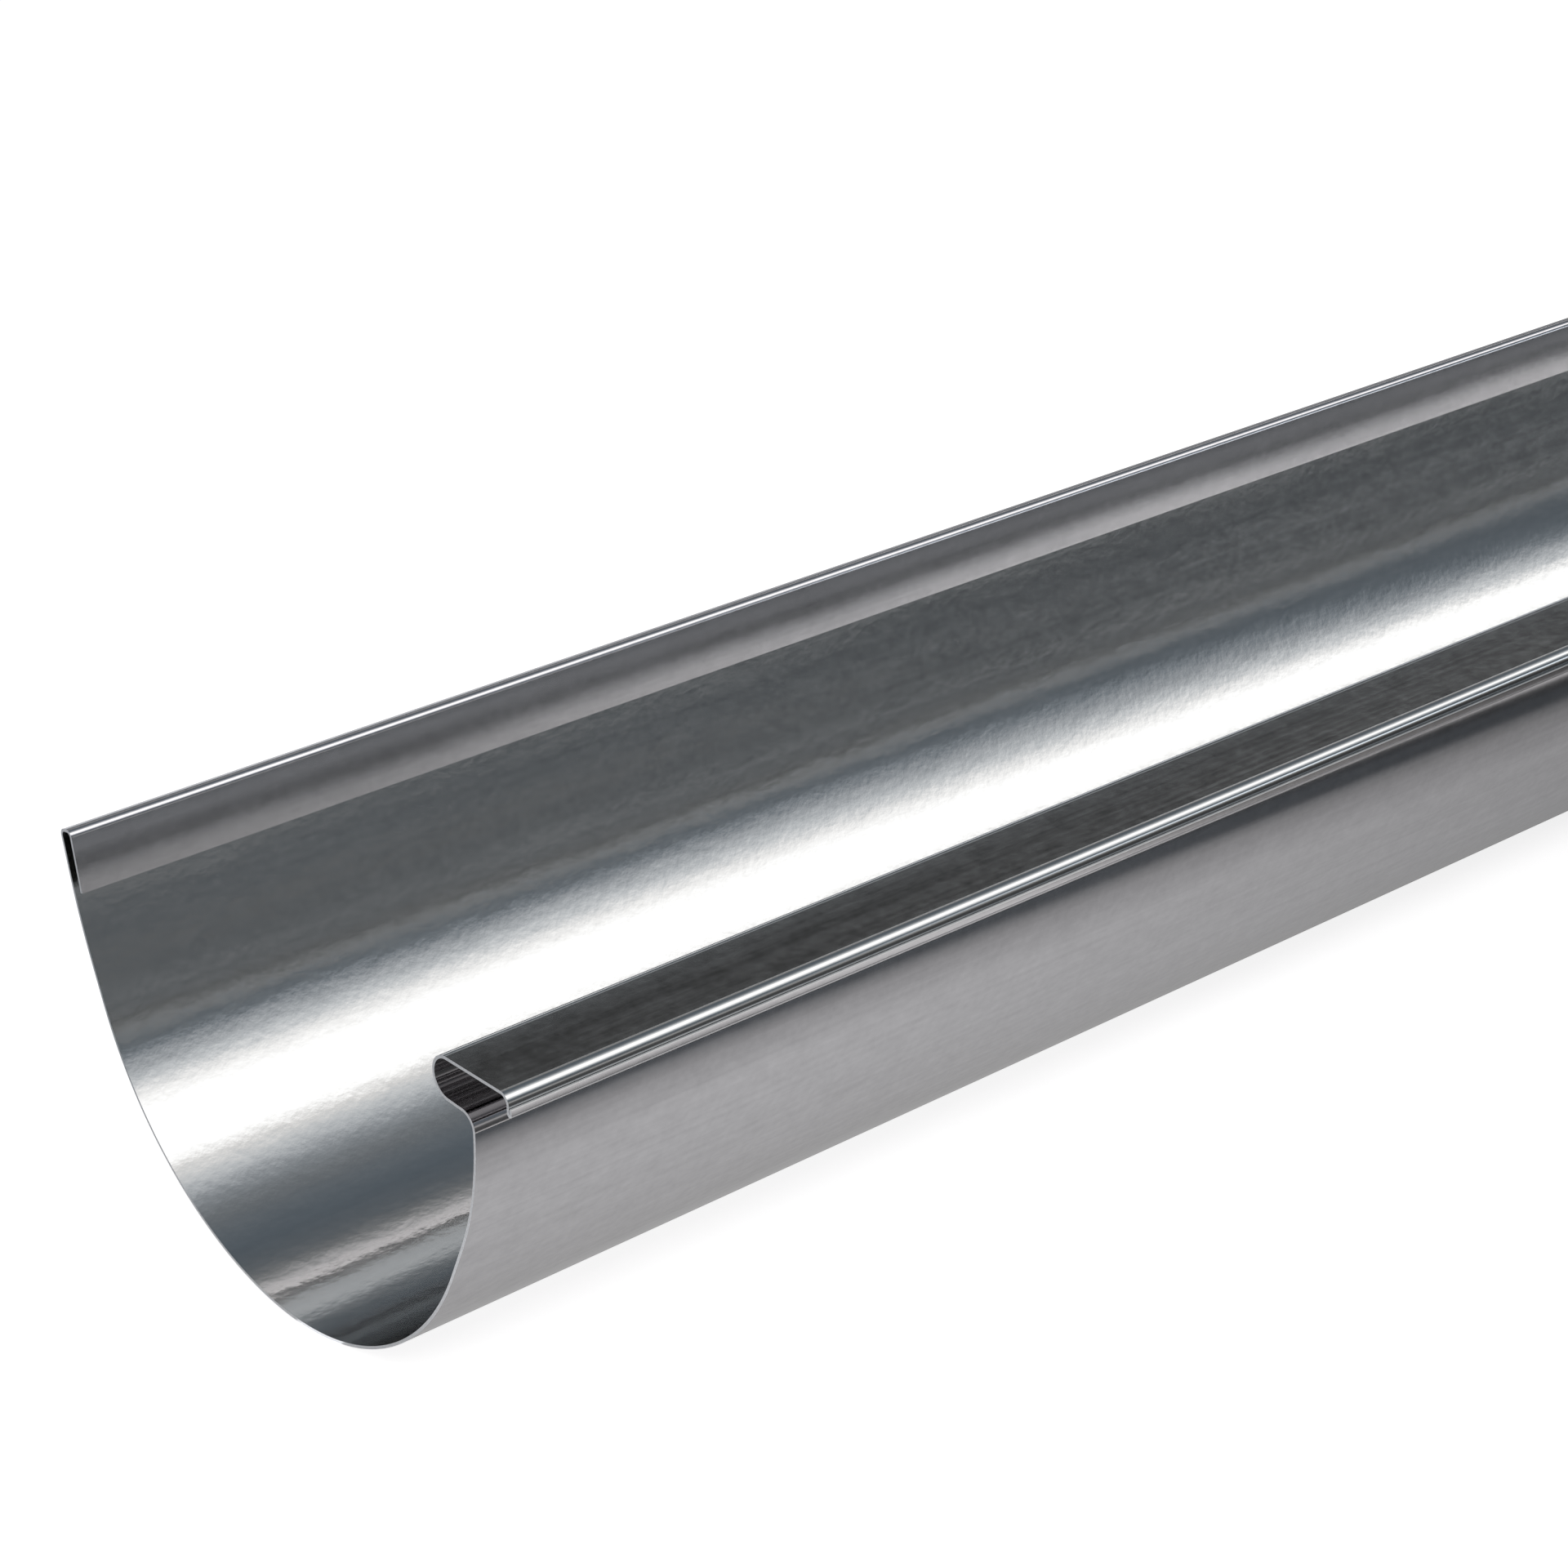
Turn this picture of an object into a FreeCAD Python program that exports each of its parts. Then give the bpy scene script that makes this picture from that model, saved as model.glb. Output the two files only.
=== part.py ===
import FreeCAD
import Part
import math
import os

# A half-round roof gutter, roll-formed in one piece from a strip of coated steel.
# The trough carries the water. The front edge is rolled into an open bead that stiffens
# it and takes the brackets' front hooks, and the back edge is folded into a flat hem.
#
# Millimetres and degrees. X runs along the gutter, -Y is the front with the bead, +Y is
# the back and Z is up. The origin is on the floor, under the trough's axis, at mid-length.
# Every radius is measured to the middle of the sheet.

# Stock
LENGTH = 2000.0
SHEET = 0.6

# Trough, an arc that starts at its lowest point and runs up both sides
TROUGH_RADIUS = 62.5

# Front wall, which leaves the trough straight and then eases upright
FRONT_TROUGH_ANGLE = 66.3
FRONT_FLAT = 8.6
FRONT_EASE_RADIUS = 60.7
FRONT_UPRIGHT = 0.8

# Bead: a shoulder inward, a shelf, a loop back over the wall, a top, a nose and a lip
SHOULDER_RADIUS = 3.2
SHELF = 4.0
LOOP_RADIUS = 4.0
BEAD_TOP_ANGLE = 2.9
BEAD_OVERHANG = 10.0
NOSE_RADIUS = 1.9
LIP = 1.25

# Lip hem, the strip's front edge turned outward and up against the lip
LIP_HEM_GAP = 0.1
LIP_HEM = 1.0

# Back wall, which leaves the trough straight, then eases a little steeper
BACK_TROUGH_ANGLE = 68.0
BACK_FLAT = 8.2
BACK_EASE_RADIUS = 118.0
BACK_EASE_ANGLE = 8.7
BACK_WALL = 8.2

# Back hem: the edge folded inward over a narrow ledge, its flap hanging inside the wall
BACK_FOLD_RADIUS = 1.25
LEDGE = 1.0
FLAP_ANGLE = 92.5
FLAP = 11.2


def run(length):
    """A straight stretch of the strip."""
    return length, None, 0.0


def bend(radius, turn):
    """A bend of the strip, to the left of its way where turn is positive."""
    return None, radius, turn


def front_steps():
    """The strip's way from the trough's lowest point to its front edge."""
    slope = math.radians(BEAD_TOP_ANGLE)
    back_from_wall = SHOULDER_RADIUS + SHELF + LOOP_RADIUS * math.sin(slope)
    nose_reach = NOSE_RADIUS * (1.0 + math.sin(slope))
    bead_top = (BEAD_OVERHANG + back_from_wall - nose_reach) / math.cos(slope)
    lip_hem_radius = (SHEET + LIP_HEM_GAP) / 2.0
    return [
        bend(TROUGH_RADIUS, -FRONT_TROUGH_ANGLE),
        run(FRONT_FLAT),
        bend(FRONT_EASE_RADIUS, FRONT_TROUGH_ANGLE - 90.0),
        run(FRONT_UPRIGHT),
        bend(SHOULDER_RADIUS, -90.0),
        run(SHELF),
        bend(LOOP_RADIUS, 180.0 - BEAD_TOP_ANGLE),
        run(bead_top),
        bend(NOSE_RADIUS, 90.0 + BEAD_TOP_ANGLE),
        run(LIP),
        bend(lip_hem_radius, -180.0),
        run(LIP_HEM),
    ]


def back_steps():
    """The strip's way from the trough's lowest point to its back edge."""
    return [
        bend(TROUGH_RADIUS, BACK_TROUGH_ANGLE),
        run(BACK_FLAT),
        bend(BACK_EASE_RADIUS, BACK_EASE_ANGLE),
        run(BACK_WALL),
        bend(BACK_FOLD_RADIUS, 90.0),
        run(LEDGE),
        bend(BACK_FOLD_RADIUS, FLAP_ANGLE),
        run(FLAP),
    ]


def in_section(y, z):
    """A point of the section, which lies in the plane X = 0."""
    return FreeCAD.Vector(0.0, y, z)


def side_edges(steps, heading, offset):
    """The edges of one face of the sheet along steps, offset to the left of its way."""
    y, z = 0.0, -TROUGH_RADIUS
    way = math.radians(heading)
    edges = []
    for length, radius, turn in steps:
        left_y, left_z = -math.sin(way), math.cos(way)
        start = in_section(y + offset * left_y, z + offset * left_z)
        if radius is None:
            y += length * math.cos(way)
            z += length * math.sin(way)
            end = in_section(y + offset * left_y, z + offset * left_z)
            edges.append(Part.LineSegment(start, end).toShape())
            continue
        side = math.copysign(1.0, turn)
        centre_y = y + side * radius * left_y
        centre_z = z + side * radius * left_z
        face_radius = radius - side * offset
        points = [start]
        for share in (0.5, 1.0):
            angle = way + math.radians(turn) * share
            out_y, out_z = side * math.sin(angle), -side * math.cos(angle)
            points.append(in_section(centre_y + face_radius * out_y, centre_z + face_radius * out_z))
        edges.append(Part.Arc(*points).toShape())
        way += math.radians(turn)
        y = centre_y + side * radius * math.sin(way)
        z = centre_z - side * radius * math.cos(way)
    return edges


def half_side(steps, heading, offset):
    """One face of the sheet over half the section, and the point where it ends."""
    edges = side_edges(steps, heading, offset)
    return edges, edges[-1].Vertexes[-1].Point


def section_face():
    """The sheet's cross-section, with the trough's axis at the origin."""
    half = SHEET / 2.0
    front_inner, front_inner_end = half_side(front_steps(), 180.0, -half)
    front_outer, front_outer_end = half_side(front_steps(), 180.0, half)
    back_inner, back_inner_end = half_side(back_steps(), 0.0, half)
    back_outer, back_outer_end = half_side(back_steps(), 0.0, -half)
    front_edge = Part.LineSegment(front_outer_end, front_inner_end).toShape()
    back_edge = Part.LineSegment(back_inner_end, back_outer_end).toShape()
    edges = front_inner + front_outer + back_inner + back_outer + [front_edge, back_edge]
    return Part.Face(Part.Wire(Part.__sortEdges__(edges)))


def rest_roll(section):
    """The turn about the trough's axis that brings the balance point to the bottom."""
    balance = section.CenterOfMass
    return math.degrees(math.atan2(-balance.y, -balance.z))


def gutter():
    """The gutter, lying in balance on the outside of its trough."""
    section = section_face()
    length = section.extrude(FreeCAD.Vector(LENGTH, 0.0, 0.0))
    length.rotate(FreeCAD.Vector(), FreeCAD.Vector(1.0, 0.0, 0.0), rest_roll(section))
    length.translate(FreeCAD.Vector(-LENGTH / 2.0, 0.0, TROUGH_RADIUS + SHEET / 2.0))
    return length


os.makedirs("parts", exist_ok=True)
gutter().exportStep("parts/gutter.step")
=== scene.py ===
import math

import bpy
import numpy as np
from mathutils import Matrix, Vector


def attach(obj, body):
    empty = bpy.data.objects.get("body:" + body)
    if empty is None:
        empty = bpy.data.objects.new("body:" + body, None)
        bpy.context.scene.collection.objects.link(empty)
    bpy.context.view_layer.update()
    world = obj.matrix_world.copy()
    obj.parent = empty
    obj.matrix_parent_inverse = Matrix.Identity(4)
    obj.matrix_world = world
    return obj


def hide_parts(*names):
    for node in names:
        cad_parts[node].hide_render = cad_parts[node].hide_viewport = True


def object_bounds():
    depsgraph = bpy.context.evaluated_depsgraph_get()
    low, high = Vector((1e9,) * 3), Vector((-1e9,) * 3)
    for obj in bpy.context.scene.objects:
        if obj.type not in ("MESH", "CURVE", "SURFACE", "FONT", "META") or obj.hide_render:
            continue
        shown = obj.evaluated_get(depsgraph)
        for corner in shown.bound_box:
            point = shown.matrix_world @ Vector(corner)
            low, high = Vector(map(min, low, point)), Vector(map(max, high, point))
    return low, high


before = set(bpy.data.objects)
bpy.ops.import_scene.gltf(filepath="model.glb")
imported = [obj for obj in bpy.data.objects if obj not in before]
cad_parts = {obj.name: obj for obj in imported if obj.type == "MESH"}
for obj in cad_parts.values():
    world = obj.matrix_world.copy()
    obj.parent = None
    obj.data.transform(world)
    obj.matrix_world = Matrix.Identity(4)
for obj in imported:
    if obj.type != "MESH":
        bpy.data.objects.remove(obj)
cad_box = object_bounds()

# The gutter: one length of half-round gutter, cold-rolled from a strip of zinc-magnesium
# coated steel 0.6 mm thick. Its trough runs out into an open bead along the front and a
# flat hem along the back. The strip is swept here from the same bends as the solid.
sheet = 0.0006
trough_radius = 0.0625

front_trough_angle = 66.3
front_flat = 0.0086
front_ease_radius = 0.0607
front_upright = 0.0008
shoulder_radius = 0.0032
shelf = 0.0040
loop_radius = 0.0040
bead_top_angle = 2.9
bead_overhang = 0.0100
nose_radius = 0.0019
lip = 0.00125
lip_hem_gap = 0.0001
lip_hem = 0.0010

back_trough_angle = 68.0
back_flat = 0.0082
back_ease_radius = 0.118
back_ease_angle = 8.7
back_wall = 0.0082
back_fold_radius = 0.00125
ledge = 0.0010
flap_angle = 92.5
flap = 0.0112

metres_per_station = 0.05
degrees_per_facet = 2.0
least_facets = 6


def front_bends():
    """The way from the trough's lowest point to the front edge: lengths or radii, and turns."""
    slope = math.radians(bead_top_angle)
    back_from_wall = shoulder_radius + shelf + loop_radius * math.sin(slope)
    nose_reach = nose_radius * (1.0 + math.sin(slope))
    bead_top = (bead_overhang + back_from_wall - nose_reach) / math.cos(slope)
    return [
        (trough_radius, -front_trough_angle),
        (front_flat, 0.0),
        (front_ease_radius, front_trough_angle - 90.0),
        (front_upright, 0.0),
        (shoulder_radius, -90.0),
        (shelf, 0.0),
        (loop_radius, 180.0 - bead_top_angle),
        (bead_top, 0.0),
        (nose_radius, 90.0 + bead_top_angle),
        (lip, 0.0),
        ((sheet + lip_hem_gap) / 2.0, -180.0),
        (lip_hem, 0.0),
    ]


def back_bends():
    """The way from the trough's lowest point to the back edge: lengths or radii, and turns."""
    return [
        (trough_radius, back_trough_angle),
        (back_flat, 0.0),
        (back_ease_radius, back_ease_angle),
        (back_wall, 0.0),
        (back_fold_radius, 90.0),
        (ledge, 0.0),
        (back_fold_radius, flap_angle),
        (flap, 0.0),
    ]


def strip_line(bends, heading):
    """Stations along the middle of the strip, each with the direction square to its left."""
    way = math.radians(heading)
    place = np.array([0.0, -trough_radius])
    stations = [(place, np.array([-math.sin(way), math.cos(way)]))]
    for size, turn in bends:
        left = np.array([-math.sin(way), math.cos(way)])
        if turn == 0.0:
            place = place + size * np.array([math.cos(way), math.sin(way)])
            stations.append((place, left))
            continue
        to_centre = math.copysign(size, turn)
        centre = place + to_centre * left
        facets = max(least_facets, round(abs(turn) / degrees_per_facet))
        for facet in range(1, facets + 1):
            angle = way + math.radians(turn) * facet / facets
            left = np.array([-math.sin(angle), math.cos(angle)])
            stations.append((centre - to_centre * left, left))
        way += math.radians(turn)
        place = centre - to_centre * left
    return stations


def section_faces():
    """The outside and the inside of the strip, both from the front edge to the back edge."""
    front = strip_line(front_bends(), 180.0)[::-1]
    back = strip_line(back_bends(), 0.0)[1:]
    half = sheet / 2.0
    outside = [p + half * left for p, left in front] + [p - half * left for p, left in back]
    inside = [p - half * left for p, left in front] + [p + half * left for p, left in back]
    return np.array(outside), np.array(inside)


def balance_point(ring):
    """The centroid of a closed outline."""
    following = np.roll(ring, -1, axis=0)
    cross = ring[:, 0] * following[:, 1] - following[:, 0] * ring[:, 1]
    return ((ring + following) * cross[:, None]).sum(axis=0) / (3.0 * cross.sum())


outside, inside = section_faces()
middle = (outside + inside) / 2.0
across_strip = np.concatenate([[0.0], np.cumsum(np.hypot(*np.diff(middle, axis=0).T))])
balance = balance_point(np.vstack([outside, inside[::-1]]))
rest_roll = Matrix.Rotation(math.atan2(-balance[0], -balance[1]), 4, "X")
axis_height = trough_radius + sheet / 2.0
near_end, far_end = cad_box[0].x, cad_box[1].x
section_to_floor = Matrix.Translation((near_end, 0.0, axis_height)) @ rest_roll
on_outside, on_inside, on_slit_side, on_sheared_end = range(4)


def swept_strip(name, materials):
    """The strip as a closed mesh: its outside, its inside, its slit sides and its sheared ends."""
    stations = round((far_end - near_end) / metres_per_station)
    run = np.linspace(0.0, far_end - near_end, stations + 1)
    across = len(outside)
    skin = (stations + 1) * across
    points = [(x, *p) for side in (outside, inside) for x in run for p in side]

    def at(side, station, column):
        return side * skin + station * across + column

    faces, finishes = [], []
    for station in range(stations):
        for column in range(across - 1):
            for side in (on_outside, on_inside):
                corners = [at(side, station, column), at(side, station + 1, column),
                           at(side, station + 1, column + 1), at(side, station, column + 1)]
                faces.append(corners[::-1] if side == on_outside else corners)
                finishes.append(side)
        for column in (0, across - 1):
            corners = [at(on_outside, station, column), at(on_outside, station + 1, column),
                       at(on_inside, station + 1, column), at(on_inside, station, column)]
            faces.append(corners if column == 0 else corners[::-1])
            finishes.append(on_slit_side)
    for column in range(across - 1):
        for station in (0, stations):
            corners = [at(on_outside, station, column), at(on_outside, station, column + 1),
                       at(on_inside, station, column + 1), at(on_inside, station, column)]
            faces.append(corners if station == 0 else corners[::-1])
            finishes.append(on_sheared_end)
    mesh = bpy.data.meshes.new(name)
    mesh.from_pydata(points, [], faces)
    mesh.transform(section_to_floor)
    for material in materials:
        mesh.materials.append(material)
    mesh.polygons.foreach_set("material_index", finishes)
    mesh.polygons.foreach_set("use_smooth", [finish < on_slit_side for finish in finishes])
    cut_faces = [face for face in mesh.polygons if face.material_index >= on_slit_side]
    cut_edges = {edge for face in cut_faces for edge in face.edge_keys}
    sharp = mesh.attributes.new("sharp_edge", "BOOLEAN", "EDGE")
    sharp.data.foreach_set("value", [edge.key in cut_edges for edge in mesh.edges])
    place = mesh.attributes.new("across_strip", "FLOAT", "POINT")
    place.data.foreach_set("value", np.tile(across_strip, 2 * (stations + 1)))
    mesh.update()
    piece = bpy.data.objects.new(name, mesh)
    bpy.context.scene.collection.objects.link(piece)
    return piece


class Wire:
    """A value in a finish's node tree. Sums and products on it add the Math nodes they need."""

    def __init__(self, tree, socket=None):
        self.tree = tree
        self.socket = socket

    def node(self, kind, settings, inputs, output=0):
        """A new node of a kind, its settings first and then its sockets, and one of its outputs."""
        made = self.tree.nodes.new(kind)
        for name, value in settings.items():
            if name == "stops":
                ramp = made.color_ramp
                for place, colour in value[1:-1]:
                    ramp.elements.new(place).color = colour
                for element, (place, colour) in zip(ramp.elements, value):
                    element.position = place
                    element.color = colour
            else:
                setattr(made, name, value)
        for name, value in inputs.items():
            if isinstance(value, Wire):
                self.tree.links.new(value.socket, made.inputs[name])
            else:
                made.inputs[name].default_value = value
        return Wire(self.tree, made.outputs[output] if made.outputs else None)

    def worked(self, operation, first, second):
        """The outcome of a Math node on two values."""
        return self.node("ShaderNodeMath", {"operation": operation}, {0: first, 1: second})

    def __add__(self, other):
        return self.worked("ADD", self, other)

    def __radd__(self, other):
        return self.worked("ADD", other, self)

    def __sub__(self, other):
        return self.worked("SUBTRACT", self, other)

    def __rsub__(self, other):
        return self.worked("SUBTRACT", other, self)

    def __mul__(self, other):
        return self.worked("MULTIPLY", self, other)

    def __rmul__(self, other):
        return self.worked("MULTIPLY", other, self)

    def __truediv__(self, other):
        return self.worked("DIVIDE", self, other)

    def __rtruediv__(self, other):
        return self.worked("DIVIDE", other, self)


def finish_tree(name):
    """An empty material and its tree."""
    material = bpy.data.materials.new(name)
    material.use_nodes = True
    material.node_tree.nodes.clear()
    return material, Wire(material.node_tree)


def place_on_floor(tree, axis):
    """A coordinate of the point that is shaded, in metres from the middle of the floor."""
    place = tree.node("ShaderNodeNewGeometry", {}, {}, "Position")
    return tree.node("ShaderNodeSeparateXYZ", {}, {0: place}, axis)


def place_on_strip(tree):
    """The way over the strip from its front edge, in metres."""
    return tree.node("ShaderNodeAttribute", {"attribute_name": "across_strip"}, {}, "Fac")


def grain(tree, per_metre_along, per_metre_across, detail, seed):
    """Noise rolled along the strip, from 0 to 1 and mostly near the middle."""
    place = tree.node("ShaderNodeCombineXYZ", {}, {
        "X": place_on_floor(tree, "X") * per_metre_along,
        "Y": place_on_strip(tree) * per_metre_across,
        "Z": seed,
    })
    noise = {"Vector": place, "Scale": 1.0, "Detail": detail}
    return tree.node("ShaderNodeTexNoise", {}, noise, "Fac")


def tinted(tree, colour, shade):
    """A colour made darker or lighter by a shade."""
    return tree.node("ShaderNodeVectorMath", {"operation": "SCALE"}, {0: colour, "Scale": shade})


def eased(tree, value, start, end):
    """Nought up to start and one from end on, with a smooth way between."""
    return tree.node("ShaderNodeMapRange", {"interpolation_type": "SMOOTHSTEP"}, {
        "Value": value, "From Min": start, "From Max": end})


# Each grain of the coating has its count in a metre along and across the strip, its finer
# layers and its seed.
crystal_grain = (620.0, 620.0, 3.0, 1.7)
cloud_grain = (150.0, 210.0, 4.0, 5.1)
streak_grain = (9.0, 900.0, 4.0, 9.4)
wave_grain = (14.0, 34.0, 1.0, 3.3)
micrometre = 0.000001
# The rollers press the coating calmer in the bead, which begins and ends at these places on
# the strip. Inside the bead the colour is darker, as painted shade in its hollow.
bead_begins = (0.0022, 0.0040)
bead_ends = (0.030, 0.040)


def coated_steel(name, colour, roughness, depths, shade_range, rough_range,
                 relief_in_bead, painted_shade_in_bead):
    """The coating of one side of the strip, its grains' depths given in micrometres."""
    material, tree = finish_tree(name)
    crystals = grain(tree, *crystal_grain)
    clouds = grain(tree, *cloud_grain)
    streaks = grain(tree, *streak_grain)
    waves = grain(tree, *wave_grain)
    patches = (crystals + clouds + streaks) / 3.0 - 0.5
    place = place_on_strip(tree)
    in_bead = eased(tree, place, *bead_begins) - eased(tree, place, *bead_ends)
    crystal_depth, cloud_depth, streak_depth, wave_depth = depths
    height = (crystals * crystal_depth + clouds * cloud_depth
              + streaks * streak_depth + waves * wave_depth)
    relief = (height - sum(depths) / 2.0) * (in_bead * (relief_in_bead - 1.0) + 1.0)
    # The colour varies at random, and inside the bead it is darkened as painted shade.
    shade = (patches * shade_range + 1.0) * (in_bead * (painted_shade_in_bead - 1.0) + 1.0)
    surface = tree.node("ShaderNodeBump", {}, {
        "Strength": 1.0, "Distance": micrometre, "Height": relief})
    steel = tree.node("ShaderNodeBsdfPrincipled", {}, {
        "Base Color": tinted(tree, colour, shade),
        "Metallic": 1.0,
        "Roughness": patches * rough_range + roughness,
        "Normal": surface,
    })
    tree.node("ShaderNodeOutputMaterial", {}, {"Surface": steel})
    return material


tears_per_metre = 2600.0
tear_layers = 2.0
tear_depth = 0.00004
tear_sharpness = 0.35
tear_shade_range = 0.5


def sheared_steel(name, colour, roughness):
    """The bare edge that the shears left, with fine tear marks."""
    material, tree = finish_tree(name)
    place = tree.node("ShaderNodeNewGeometry", {}, {}, "Position")
    noise = {"Vector": place, "Scale": tears_per_metre, "Detail": tear_layers}
    tears = tree.node("ShaderNodeTexNoise", {}, noise, "Fac")
    surface = tree.node("ShaderNodeBump", {}, {
        "Strength": tear_sharpness, "Distance": tear_depth, "Height": tears})
    shade = tears * tear_shade_range + (1.0 - tear_shade_range / 2.0)
    steel = tree.node("ShaderNodeBsdfPrincipled", {}, {
        "Base Color": tinted(tree, colour, shade),
        "Metallic": 1.0,
        "Roughness": roughness,
        "Normal": surface,
    })
    tree.node("ShaderNodeOutputMaterial", {}, {"Surface": steel})
    return material


gutter = swept_strip("rolled_gutter", [
    # The outside coating is darkened inside the bead, as painted shade in its hollow.
    coated_steel("coating_outside", (0.765, 0.745, 0.76), 0.115, depths=(2.0, 0.0, 1.0, 10.0),
                 shade_range=0.55, rough_range=0.06, relief_in_bead=0.4, painted_shade_in_bead=0.6),
    coated_steel("coating_inside", (0.75, 0.75, 0.745), 0.125, depths=(24.0, 44.0, 0.4, 160.0),
                 shade_range=0.25, rough_range=0.12, relief_in_bead=0.1, painted_shade_in_bead=1.0),
    coated_steel("slit_side", (0.60, 0.60, 0.60), 0.12, depths=(0.5, 0.0, 0.5, 0.0),
                 shade_range=0.30, rough_range=0.10, relief_in_bead=1.0, painted_shade_in_bead=1.0),
    sheared_steel("sheared_edge", (0.78, 0.79, 0.82), 0.45),
])
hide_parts("gutter")
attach(gutter, "root")

# The floor: a plain sweep of matt white board, level with the underside of the trough. The
# gutter lies loose on it.
floor_side = 14.0
board_grey = 0.8
board_lift = 0.73
white = (1.0, 1.0, 1.0, 1.0)


def seen(tree):
    """One for the rays that show a thing to the eye, straight or in metal or glass."""
    rays = [tree.node("ShaderNodeLightPath", {}, {}, name)
            for name in ("Is Camera Ray", "Is Glossy Ray", "Is Transmission Ray")]
    return rays[0] + rays[1] + rays[2]


def floor_board(name, grey, lift):
    """Matt board. Its own light lifts it to white, and leaves the gutter's shadow on it."""
    material, tree = finish_tree(name)
    board = tree.node("ShaderNodeBsdfDiffuse", {}, {"Color": (grey, grey, grey, 1.0)})
    glow = tree.node("ShaderNodeEmission", {}, {"Color": white, "Strength": seen(tree) * lift})
    both = tree.node("ShaderNodeAddShader", {}, {0: board, 1: glow})
    tree.node("ShaderNodeOutputMaterial", {}, {"Surface": both})
    return material


def stage_sheet(name, points, faces, material):
    """A sheet of the studio, from its points and faces."""
    mesh = bpy.data.meshes.new(name)
    mesh.from_pydata(points, [], faces)
    mesh.materials.append(material)
    piece = bpy.data.objects.new(name, mesh)
    bpy.context.scene.collection.objects.link(piece)
    return piece


def flat_sheet(name, side, front, back, height, material):
    """A level oblong sheet that reaches side to each end."""
    corners = [(-side, front, height), (side, front, height),
               (side, back, height), (-side, back, height)]
    return stage_sheet(name, corners, [(0, 1, 2, 3)], material)


flat_sheet("floor", floor_side / 2.0, -floor_side / 2.0, floor_side / 2.0, 0.0,
           floor_board("white_board", board_grey, board_lift))

# The studio tunnel: a half-round tunnel of toned cloth over the gutter, closed at both ends.
# Nothing but polished metal shows the cloth.
tunnel_radius = 3.0
tunnel_half_length = 6.0
tunnel_facets = 90
# Each tone stands at degrees up from the back horizon, over the top and down to the front
# one, with its brightness and how far it leans from red to blue.
tunnel_tones = [
    (0.0, 1.20, 0.00),
    (12.0, 1.18, 0.00),
    (20.0, 0.36, 0.08),
    (25.0, 0.10, 0.15),
    (33.5, 0.13, 0.10),
    (37.5, 0.36, 0.03),
    (40.3, 0.38, 0.05),
    (42.4, 0.18, 0.09),
    (43.5, 0.015, -0.05),
    (48.7, 0.015, -0.05),
    (50.6, 0.46, 0.06),
    (53.0, 0.92, -0.01),
    (56.0, 0.12, 0.02),
    (60.0, 0.10, 0.02),
    (64.0, 0.43, 0.00),
    (68.0, 0.19, 0.03),
    (74.0, 0.13, 0.12),
    (84.0, 0.12, 0.18),
    (92.0, 0.15, 0.14),
    (99.0, 0.18, 0.08),
    (107.0, 0.30, 0.08),
    (112.0, 0.56, 0.05),
    (116.0, 0.72, 0.03),
    (120.0, 0.84, -0.02),
    (124.0, 1.43, 0.00),
    (143.0, 1.43, 0.00),
    (148.0, 1.13, -0.01),
    (153.0, 0.71, 0.04),
    (158.5, 0.42, 0.06),
    (162.0, 0.24, 0.12),
    (164.5, 0.12, 0.16),
    (180.0, 0.12, 0.06),
]
# The bright band's front edge stands this many degrees higher towards the far end. A zone
# has the angles where it begins, is full, begins to wane and ends, and a way has the places
# along the gutter where a change begins and is full.
edge_shift = 13.5
edge_shift_zone = (125.0, 140.0, 150.0, 168.0)
edge_shift_way = (0.7, 2.9)
# Towards the far end the pale band behind the gutter gains light, the dark one under it
# loses some, and the cloth low down in front of the gutter pales to white.
pale_band_zone = (48.5, 50.5, 55.0, 60.0)
pale_band_near, pale_band_far = 0.72, 1.42
dark_band_from, dark_band_full = 36.0, 31.0
dark_band_loss = 0.50
bands_way = (0.4, 2.0)
low_front_from, low_front_full = 168.5, 171.5
low_front_gain = 9.0
low_front_way = (0.8, 1.9)


def lit_by(tree, tone, strength):
    """The output of cloth that gives a steady tone."""
    light = tinted(tree, tone, strength)
    glow = tree.node("ShaderNodeEmission", {}, {"Color": light, "Strength": 1.0})
    tree.node("ShaderNodeOutputMaterial", {}, {"Surface": glow})


def toned_ramp(tree, share, tones, start, end, brightest):
    """The tone at a share of the way from start to end, as a part of the brightest."""
    stops = []
    for place, tone, blue in tones:
        red_green_blue = (tone * (1.0 - blue), tone, tone * (1.0 + blue))
        colour = tuple(part / brightest for part in red_green_blue)
        stops.append(((place - start) / (end - start), (*colour, 1.0)))
    return tree.node("ShaderNodeValToRGB", {"stops": stops}, {0: share})


def between(tree, angle, start, end):
    """Nought where the angle is at start and one where it is at end, both in degrees."""
    return tree.node("ShaderNodeMapRange", {}, {
        "Value": angle, "From Min": math.radians(start), "From Max": math.radians(end)})


def in_zone(tree, angle, zone):
    """One in the full part of a zone and nought outside it."""
    begins, full, wanes, ends = zone
    return between(tree, angle, begins, full) * between(tree, angle, ends, wanes)


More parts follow.
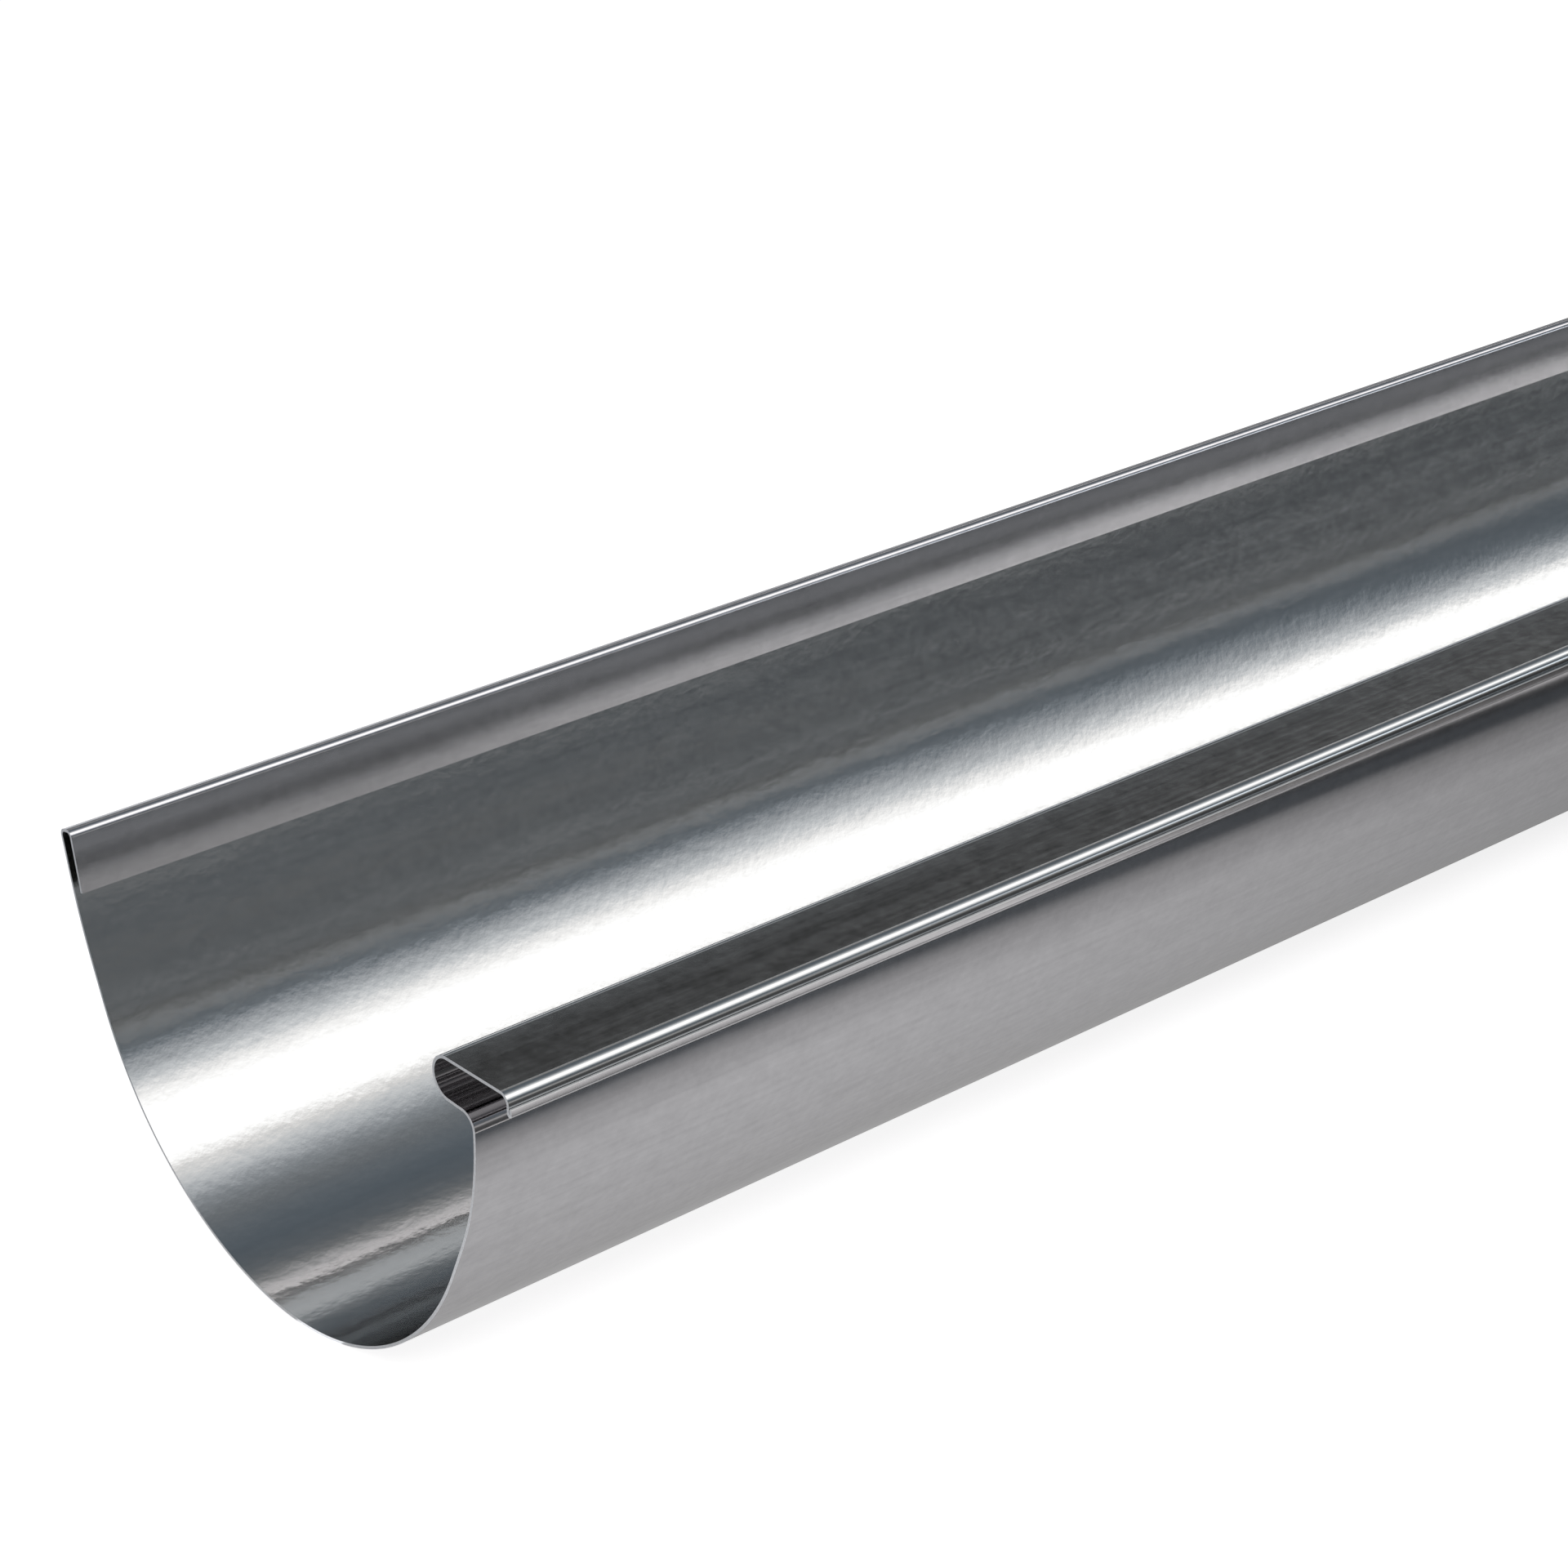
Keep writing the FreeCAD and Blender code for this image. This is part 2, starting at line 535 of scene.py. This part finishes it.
def tunnel_cloth():
    """The tunnel's cloth, with its tone set by the angle round the gutter."""
    material, tree = finish_tree("tunnel_cloth")
    along = place_on_floor(tree, "X")
    angle = tree.node("ShaderNodeMath", {"operation": "ARCTAN2"}, {
        0: place_on_floor(tree, "Z"), 1: place_on_floor(tree, "Y")})
    shifted = in_zone(tree, angle, edge_shift_zone) * eased(tree, along, *edge_shift_way)
    share = (angle + shifted * math.radians(edge_shift)) / math.pi
    far = eased(tree, along, *bands_way)
    pale_gain = far * (pale_band_far - pale_band_near) + (pale_band_near - 1.0)
    dark_loss = between(tree, angle, dark_band_from, dark_band_full) * far * dark_band_loss
    low_front = between(tree, angle, low_front_from, low_front_full)
    low_gain = low_front * eased(tree, along, *low_front_way) * low_front_gain
    gain = in_zone(tree, angle, pale_band_zone) * pale_gain + 1.0 - dark_loss + low_gain
    brightest = max(tone * (1.0 + abs(blue)) for _, tone, blue in tunnel_tones)
    tone = toned_ramp(tree, share, tunnel_tones, 0.0, 180.0, brightest)
    lit_by(tree, tone, gain * brightest)
    return material


def glossy_only(piece):
    """Lets a piece of the studio show in polished metal and nowhere else."""
    piece.visible_camera = False
    piece.visible_diffuse = False
    piece.visible_shadow = False


rim_angles = [math.pi * step / tunnel_facets for step in range(tunnel_facets + 1)]
rim = [(tunnel_radius * math.cos(angle), tunnel_radius * math.sin(angle)) for angle in rim_angles]
rim_count = len(rim)
glossy_only(stage_sheet(
    "tunnel",
    [(x, y, z) for x in (-tunnel_half_length, tunnel_half_length) for y, z in rim],
    [(k, k + 1, k + 1 + rim_count, k + rim_count) for k in range(tunnel_facets)]
    + [tuple(range(rim_count)), tuple(range(rim_count, 2 * rim_count))],
    tunnel_cloth(),
))

# The floor cloth: toned cloth that lies on the floor in front of the gutter and comes close
# up to it. Past the near end its tones lie a little further back, and are darker.
floor_cloth_height = 0.0003
floor_cloth_reach = (-0.60, -0.006)
floor_cloth_tones = [
    (-0.60, 0.55, 0.00),
    (-0.45, 0.36, 0.00),
    (-0.36, 0.20, 0.00),
    (-0.30, 0.10, 0.00),
    (-0.27, 0.09, 0.00),
    (-0.17, 0.06, 0.04),
    (-0.152, 0.05, 0.02),
    (-0.147, 0.14, 0.00),
    (-0.143, 0.30, -0.02),
    (-0.139, 0.18, -0.02),
    (-0.135, 0.50, 0.00),
    (-0.131, 1.15, 0.00),
    (-0.1285, 0.04, 0.00),
    (-0.122, 0.04, 0.10),
    (-0.118, 0.10, 0.10),
    (-0.1135, 0.08, 0.10),
    (-0.11, 0.08, 0.08),
    (-0.107, 0.22, 0.03),
    (-0.102, 0.29, 0.01),
    (-0.099, 0.34, 0.01),
    (-0.088, 0.42, 0.01),
    (-0.076, 0.49, 0.01),
    (-0.055, 0.47, 0.01),
    (-0.03, 0.38, 0.00),
    (-0.006, 0.40, 0.00),
]
floor_cloth_turn = -0.93
floor_cloth_turn_length = 0.38
floor_cloth_shift = 0.022
floor_cloth_far_loss = 0.43


def floor_cloth_material():
    """The floor cloth, dark in front and paler towards the gutter."""
    material, tree = finish_tree("floor_cloth")
    turn_end = floor_cloth_turn + floor_cloth_turn_length
    far = eased(tree, place_on_floor(tree, "X"), floor_cloth_turn, turn_end)
    start, end = floor_cloth_reach
    share = (place_on_floor(tree, "Y") - far * floor_cloth_shift - start) / (end - start)
    tone = toned_ramp(tree, share, floor_cloth_tones, start, end, 1.0)
    lit_by(tree, tone, 1.0 - far * floor_cloth_far_loss)
    return material


glossy_only(flat_sheet("floor_cloth", tunnel_half_length, -tunnel_radius, floor_cloth_reach[1],
                       floor_cloth_height, floor_cloth_material()))

# The back cloth: a second toned cloth, laid flat on the floor behind the gutter. It is
# darkest a hand's breadth behind the gutter and pales towards the back.
back_cloth_reach = (0.01, 1.2)
back_cloth_tones = [
    (0.01, 0.45, 0.00),
    (0.07, 0.50, 0.00),
    (0.12, 0.34, 0.02),
    (0.17, 0.20, 0.05),
    (0.35, 0.30, 0.04),
    (0.60, 0.75, 0.00),
    (1.20, 1.00, 0.00),
]


def back_cloth_material():
    """The back cloth, dark a little behind the gutter and paler further back."""
    material, tree = finish_tree("back_cloth")
    start, end = back_cloth_reach
    share = (place_on_floor(tree, "Y") - start) / (end - start)
    lit_by(tree, toned_ramp(tree, share, back_cloth_tones, start, end, 1.0), 1.0)
    return material


glossy_only(flat_sheet("back_cloth", tunnel_half_length, back_cloth_reach[0], tunnel_radius,
                       floor_cloth_height, back_cloth_material()))

# The softbox: one long soft lamp over the front of the gutter, as long as the tunnel less a
# gap at each end. It lights the floor and throws the gutter's shadow.
softbox_angle = 131.0
softbox_spread = 32.0
softbox_radius = 2.6
softbox_end_gap = 1.0
softbox_strength = 1.1
softbox_width = 2.0 * softbox_radius * math.tan(math.radians(softbox_spread / 2.0))
softbox_length = 2.0 * (tunnel_half_length - softbox_end_gap)
softbox_light = bpy.data.lights.new("softbox", "AREA")
softbox_light.shape = "RECTANGLE"
softbox_light.size = softbox_length
softbox_light.size_y = softbox_width
softbox_light.color = (1.0, 0.995, 0.985)
softbox_light.energy = softbox_strength * math.pi * softbox_length * softbox_width
softbox = bpy.data.objects.new("softbox", softbox_light)
bpy.context.scene.collection.objects.link(softbox)
softbox_rise = math.radians(softbox_angle)
toward_softbox = Vector((0.0, math.cos(softbox_rise), math.sin(softbox_rise)))
softbox.location = softbox_radius * toward_softbox
softbox.rotation_euler = toward_softbox.to_track_quat("Z", "Y").to_euler()
softbox.visible_camera = False
softbox.visible_glossy = False

# The room: white walls all round, which show plain white to the eye and in metal and glass.
# Matt things get less light from them.
diffuse_strength = 0.35
world = bpy.data.worlds.new("studio_white")
world.use_nodes = True
world.node_tree.nodes.clear()
air = Wire(world.node_tree)
sky = air.node("ShaderNodeBackground", {}, {
    "Color": white,
    "Strength": seen(air) * (1.0 - diffuse_strength) + diffuse_strength,
})
air.node("ShaderNodeOutputWorld", {}, {"Surface": sky})
world.cycles.sampling_method = "NONE"
bpy.context.scene.world = world

# The camera stands in front of the near end, above the gutter and level with its section as
# it stood for the photo. The gutter lies a little rolled over, so the camera rolls with it.
camera_place = Vector((-0.29215, -0.4965, 0.33813))
camera_yaw, camera_pitch = math.radians(50.207), math.radians(27.113)
forward = Vector((math.cos(camera_yaw) * math.cos(camera_pitch),
                  math.sin(camera_yaw) * math.cos(camera_pitch), -math.sin(camera_pitch)))
right = Vector((math.sin(camera_yaw), -math.cos(camera_yaw), 0.0))
facing = Matrix((right, right.cross(forward), -forward)).transposed().to_4x4()
camera_data = bpy.data.cameras.new("camera")
camera_data.lens = 85.0
camera_data.sensor_width = 36.0
camera = bpy.data.objects.new("camera", camera_data)
camera.matrix_world = section_to_floor @ Matrix.Translation(camera_place) @ facing
bpy.context.scene.collection.objects.link(camera)
bpy.context.scene.camera = camera

bpy.context.scene.view_settings.view_transform = "Standard"
